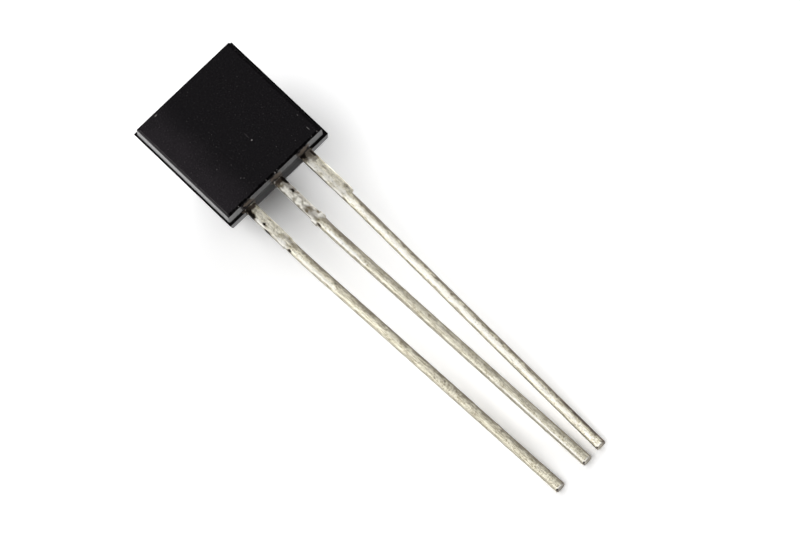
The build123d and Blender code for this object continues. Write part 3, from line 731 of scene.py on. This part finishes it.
# Pale paper floor: matte white. The eye and reflections see it a little over white, as a lit sheet is exposed.
# Its half width is in metres.
floorLook = {"half": 0.6, "colour": 0.88, "seenColour": 1.42}
bpy.ops.mesh.primitive_plane_add(size=2 * floorLook["half"], location=(0, 0, 0))
floor = bpy.context.object
floor.name = "floor"
material, tree, shader = newMaterial("paperFloor")
path = addNode(tree, "ShaderNodeLightPath")
seen = addNode(tree, "ShaderNodeMath", {
    0: path.outputs["Is Camera Ray"], 1: path.outputs["Is Glossy Ray"]}, operation="MAXIMUM")
seen = addNode(tree, "ShaderNodeMath", {
    0: seen.outputs["Value"], 1: path.outputs["Is Transmission Ray"]}, operation="MAXIMUM")
paper = addNode(tree, "ShaderNodeMix", {
    "Factor": seen.outputs["Value"], 6: [floorLook["colour"]] * 3 + [1.0],
    7: [floorLook["seenColour"]] * 3 + [1.0]}, data_type="RGBA")
sheet = addNode(tree, "ShaderNodeBsdfDiffuse", {"Color": paper.outputs[2]})
tree.links.new(sheet.outputs["BSDF"], tree.nodes["Material Output"].inputs["Surface"])
tree.nodes.remove(shader)
floor.data.materials.append(material)

# Light tent: pale walls, brighter behind the case's top and dim near the floor. Two soft boxes (way, cosines of the
# outer and inner edge, radiance): one overhead, a little to the collector's side and the lead tips, and one low on the
# emitter's side, towards the case's top. The flat face mirrors a dark opening near the zenith. The eye sees plain
# white beyond the floor.
tent = {
    "wall": 0.54, "towardsTop": 0.96, "least": 0.02, "riseFrom": 0.0, "riseTo": 0.5, "riseShare": 0.20,
    "boxes": [((-0.30, -0.20, 0.93), (0.80, 0.96), 2.3), ((0.85, 0.50, 0.10), (0.60, 0.95), 1.35)],
    "opening": (0.151, 0.122, 0.981), "openingCos": (0.885, 0.955), "openingShare": 0.03,
}
world = bpy.data.worlds.new("lightTent")
bpy.context.scene.world = world
world.use_nodes = True
tree = world.node_tree
direction = addNode(tree, "ShaderNodeTexCoord").outputs["Generated"]
way = addNode(tree, "ShaderNodeSeparateXYZ", {0: direction})
endways = addNode(tree, "ShaderNodeMath", {
    0: way.outputs["Y"], 1: tent["towardsTop"], 2: tent["wall"]}, operation="MULTIPLY_ADD")
wall = addNode(tree, "ShaderNodeMath", {0: endways.outputs["Value"], 1: tent["least"]}, operation="MAXIMUM")
rise = addNode(tree, "ShaderNodeMapRange", {
    "Value": way.outputs["Z"], "From Min": tent["riseFrom"], "From Max": tent["riseTo"],
    "To Min": tent["riseShare"]}, interpolation_type="SMOOTHSTEP")
total = addNode(tree, "ShaderNodeMath", {
    0: wall.outputs["Value"], 1: rise.outputs["Result"]}, operation="MULTIPLY").outputs["Value"]
for boxWay, (outerCos, innerCos), radiance in tent["boxes"]:
    length = math.sqrt(sum(part * part for part in boxWay))
    towardsBox = addNode(tree, "ShaderNodeVectorMath", {
        0: direction, 1: [part / length for part in boxWay]}, operation="DOT_PRODUCT")
    box = addNode(tree, "ShaderNodeMapRange", {
        "Value": towardsBox.outputs["Value"], "From Min": outerCos, "From Max": innerCos,
        "To Max": radiance}, interpolation_type="SMOOTHSTEP")
    total = addNode(tree, "ShaderNodeMath", {0: total, 1: box.outputs["Result"]}, operation="ADD").outputs["Value"]
towardsOpening = addNode(tree, "ShaderNodeVectorMath", {0: direction, 1: tent["opening"]}, operation="DOT_PRODUCT")
opening = addNode(tree, "ShaderNodeMapRange", {
    "Value": towardsOpening.outputs["Value"], "From Min": tent["openingCos"][0], "From Max": tent["openingCos"][1],
    "To Min": 1.0, "To Max": tent["openingShare"]}, interpolation_type="SMOOTHSTEP")
glow = addNode(tree, "ShaderNodeMath", {0: total, 1: opening.outputs["Result"]}, operation="MULTIPLY")
lit = addNode(tree, "ShaderNodeBackground", {"Color": (1.0, 1.0, 1.0, 1.0), "Strength": glow.outputs["Value"]})
plain = addNode(tree, "ShaderNodeBackground", {"Color": (1.0, 1.0, 1.0, 1.0), "Strength": 1.0})
path = addNode(tree, "ShaderNodeLightPath")
choose = addNode(tree, "ShaderNodeMixShader", {
    0: path.outputs["Is Camera Ray"], 1: lit.outputs["Background"], 2: plain.outputs["Background"]})
tree.links.new(choose.outputs["Shader"], tree.nodes["World Output"].inputs["Surface"])
print("floor and light ready")

# Camera: the photograph's view, with a long lens.
view = {
    "azimuth": -18.439, "elevation": 61.464, "roll": -27.528, "distanceMm": 195.874, "aimMm": (0.9325, 0.387, 0.562),
    "lensMm": 270.0, "sensorMm": 36.0, "clipMm": 1.0,
}
azimuth, elevation = math.radians(view["azimuth"]), math.radians(view["elevation"])
back = Vector((
    math.sin(azimuth) * math.cos(elevation), -math.cos(azimuth) * math.cos(elevation), math.sin(elevation)))
roll = Quaternion((0, 0, 1), math.radians(view["roll"]))
cameraData = bpy.data.cameras.new("camera")
cameraData.sensor_width = view["sensorMm"]
cameraData.lens = view["lensMm"]
cameraData.clip_start = view["clipMm"] * mm
camera = bpy.data.objects.new("camera", cameraData)
camera.location = mm * (Vector(view["aimMm"]) + view["distanceMm"] * back)
camera.rotation_mode = "QUATERNION"
camera.rotation_quaternion = (-back).to_track_quat("-Z", "Y") @ roll
bpy.context.scene.collection.objects.link(camera)
bpy.context.scene.camera = camera
bpy.context.scene.view_settings.view_transform = "Standard"

print("scene ready")
